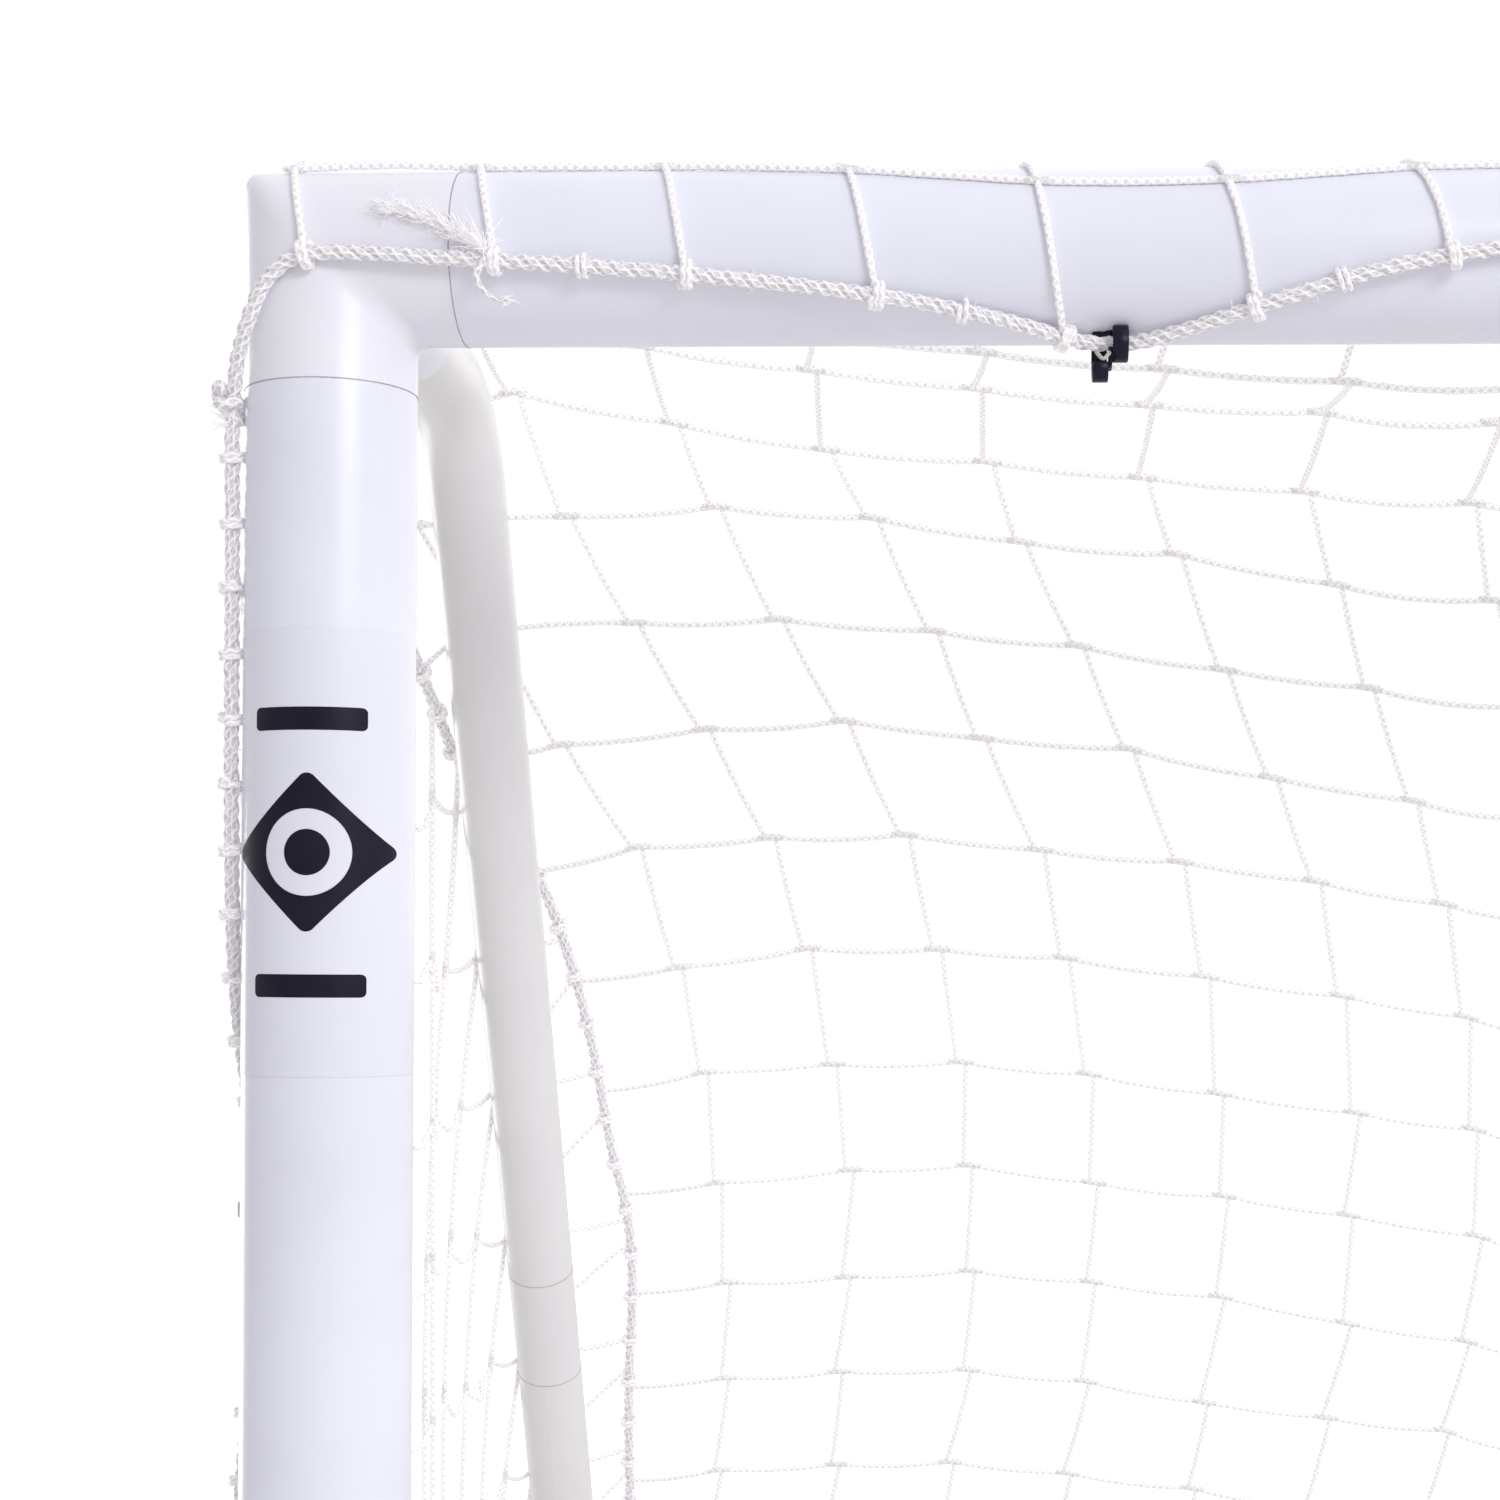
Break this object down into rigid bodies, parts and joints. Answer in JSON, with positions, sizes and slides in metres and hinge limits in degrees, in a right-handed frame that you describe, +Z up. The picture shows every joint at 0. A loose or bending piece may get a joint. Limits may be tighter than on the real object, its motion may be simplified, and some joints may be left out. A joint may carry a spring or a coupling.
{
  "type": "portable practice hockey goal",
  "caption": "Portable push-fit goal: thick tube mouth frame, thin bent stays and base frame, knotless net clipped and laced to border ropes.",
  "frame": {"origin": "on the ground, at the middle of the goal's footprint", "axes": "+X to the right along the crossbar, -Y out of the mouth towards the player, +Z up"},
  "size_m": [1.8446, 0.92, 1.2226],
  "materials": {
    "mouth_tube": "satin",
    "corner_moulding": "satin",
    "stay_tube": "satin",
    "button_plastic": "satin",
    "spring_steel": "satin",
    "clip_plastic": "satin",
    "rope": "matte",
    "netting": "matte",
    "label_film": "gloss",
    "label_print": "satin"
  },
  "bodies": {
    "frame": {"crossbar_coupler": "corner_moulding", "back_bar_coupler": "stay_tube", "crossbar_clips": "clip_plastic", "back_bar_clips": "clip_plastic", "border_rope": "rope", "base_rope": "rope", "back_net": "netting", "label_film": "label_film", "label_print": "label_print", "post_left": "mouth_tube", "post_right": "mouth_tube", "crossbar_left": "mouth_tube", "crossbar_right": "mouth_tube", "top_corner_left": "corner_moulding", "top_corner_right": "corner_moulding", "bottom_corner_left": "corner_moulding", "bottom_corner_right": "corner_moulding", "stay_upper_left": "stay_tube", "stay_upper_right": "stay_tube", "stay_coupler_left": "stay_tube", "stay_coupler_right": "stay_tube", "stay_lower_left": "stay_tube", "stay_lower_right": "stay_tube", "rear_corner_left": "corner_moulding", "rear_corner_right": "corner_moulding", "side_tube_left": "stay_tube", "side_tube_right": "stay_tube", "back_bar_left": "stay_tube", "back_bar_right": "stay_tube", "seam_rope_left": "rope", "seam_rope_right": "rope", "side_net_left": "netting", "side_net_right": "netting", "post_clips_left": "clip_plastic", "post_clips_right": "clip_plastic", "side_clips_left": "clip_plastic", "side_clips_right": "clip_plastic", "spring_bar_end_left": "spring_steel", "spring_bar_middle_left": "spring_steel", "spring_post_top_left": "spring_steel", "spring_post_foot_left": "spring_steel", "spring_bar_end_right": "spring_steel", "spring_bar_middle_right": "spring_steel", "spring_post_top_right": "spring_steel", "spring_post_foot_right": "spring_steel"},
    "button_bar_end_left": {"button_bar_end_left": "button_plastic"},
    "button_bar_middle_left": {"button_bar_middle_left": "button_plastic"},
    "button_post_top_left": {"button_post_top_left": "button_plastic"},
    "button_post_foot_left": {"button_post_foot_left": "button_plastic"},
    "button_bar_end_right": {"button_bar_end_right": "button_plastic"},
    "button_bar_middle_right": {"button_bar_middle_right": "button_plastic"},
    "button_post_top_right": {"button_post_top_right": "button_plastic"},
    "button_post_foot_right": {"button_post_foot_right": "button_plastic"}
  },
  "joints": [
    {"name": "press_bar_end_left", "type": "slide", "parent": "frame", "child": "button_bar_end_left", "axis": [0, 0, -1], "range_m": [0, 0.005], "stiffness_N_per_m": 1500, "springref_m": -0.002, "deforming": ["spring_bar_end_left"]},
    {"name": "press_bar_middle_left", "type": "slide", "parent": "frame", "child": "button_bar_middle_left", "axis": [0, 0, -1], "range_m": [0, 0.005], "stiffness_N_per_m": 1500, "springref_m": -0.002, "deforming": ["spring_bar_middle_left"]},
    {"name": "press_post_top_left", "type": "slide", "parent": "frame", "child": "button_post_top_left", "axis": [0, -1, 0], "range_m": [0, 0.005], "stiffness_N_per_m": 1500, "springref_m": -0.002, "deforming": ["spring_post_top_left"]},
    {"name": "press_post_foot_left", "type": "slide", "parent": "frame", "child": "button_post_foot_left", "axis": [0, -1, 0], "range_m": [0, 0.005], "stiffness_N_per_m": 1500, "springref_m": -0.002, "deforming": ["spring_post_foot_left"]},
    {"name": "press_bar_end_right", "type": "slide", "parent": "frame", "child": "button_bar_end_right", "axis": [0, 0, -1], "range_m": [0, 0.005], "stiffness_N_per_m": 1500, "springref_m": -0.002, "deforming": ["spring_bar_end_right"]},
    {"name": "press_bar_middle_right", "type": "slide", "parent": "frame", "child": "button_bar_middle_right", "axis": [0, 0, -1], "range_m": [0, 0.005], "stiffness_N_per_m": 1500, "springref_m": -0.002, "deforming": ["spring_bar_middle_right"]},
    {"name": "press_post_top_right", "type": "slide", "parent": "frame", "child": "button_post_top_right", "axis": [0, -1, 0], "range_m": [0, 0.005], "stiffness_N_per_m": 1500, "springref_m": -0.002, "deforming": ["spring_post_top_right"]},
    {"name": "press_post_foot_right", "type": "slide", "parent": "frame", "child": "button_post_foot_right", "axis": [0, -1, 0], "range_m": [0, 0.005], "stiffness_N_per_m": 1500, "springref_m": -0.002, "deforming": ["spring_post_foot_right"]}
  ]
}
